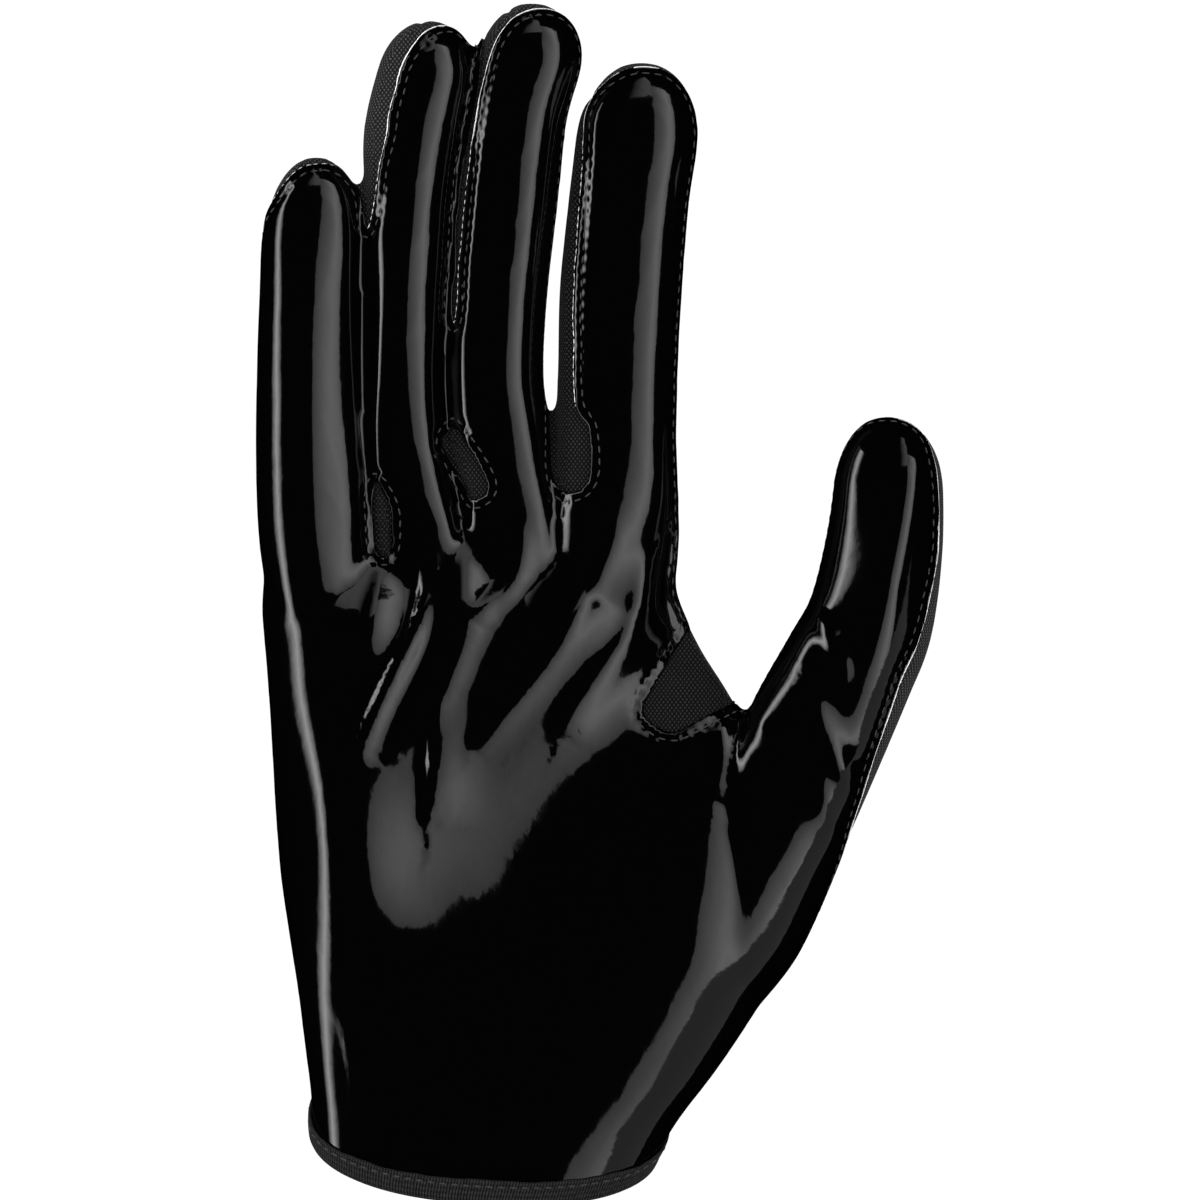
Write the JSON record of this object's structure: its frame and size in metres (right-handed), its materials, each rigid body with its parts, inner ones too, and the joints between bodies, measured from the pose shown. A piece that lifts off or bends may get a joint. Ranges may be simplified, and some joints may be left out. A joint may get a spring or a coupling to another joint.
{
  "type": "football receiver glove",
  "caption": "Right-hand receiver glove lying palm up: glossy coated palm and finger fronts, knitted back and finger sides, gusseted thumb and a taped pull-on cuff.",
  "frame": {"origin": "under the middle of the glove's bounding box, on the surface that the back of the hand lies on", "axes": "+Y from the cuff to the fingertips, +X towards the thumb, +Z out of the palm"},
  "size_m": [0.1416, 0.2464, 0.0348],
  "materials": {
    "palm_coating": "mirror-gloss silicone coating, near black",
    "knit": "matt fine knit, near black",
    "tape": "matt folded binding tape, near black"
  },
  "bodies": {
    "root": {"palm": "palm_coating", "back": "knit", "fourchette_pinky_ring": "knit", "fourchette_ring_middle": "knit", "fourchette_middle_index": "knit", "thumb_gusset": "knit", "cuff_binding": "tape"}
  },
  "joints": []
}
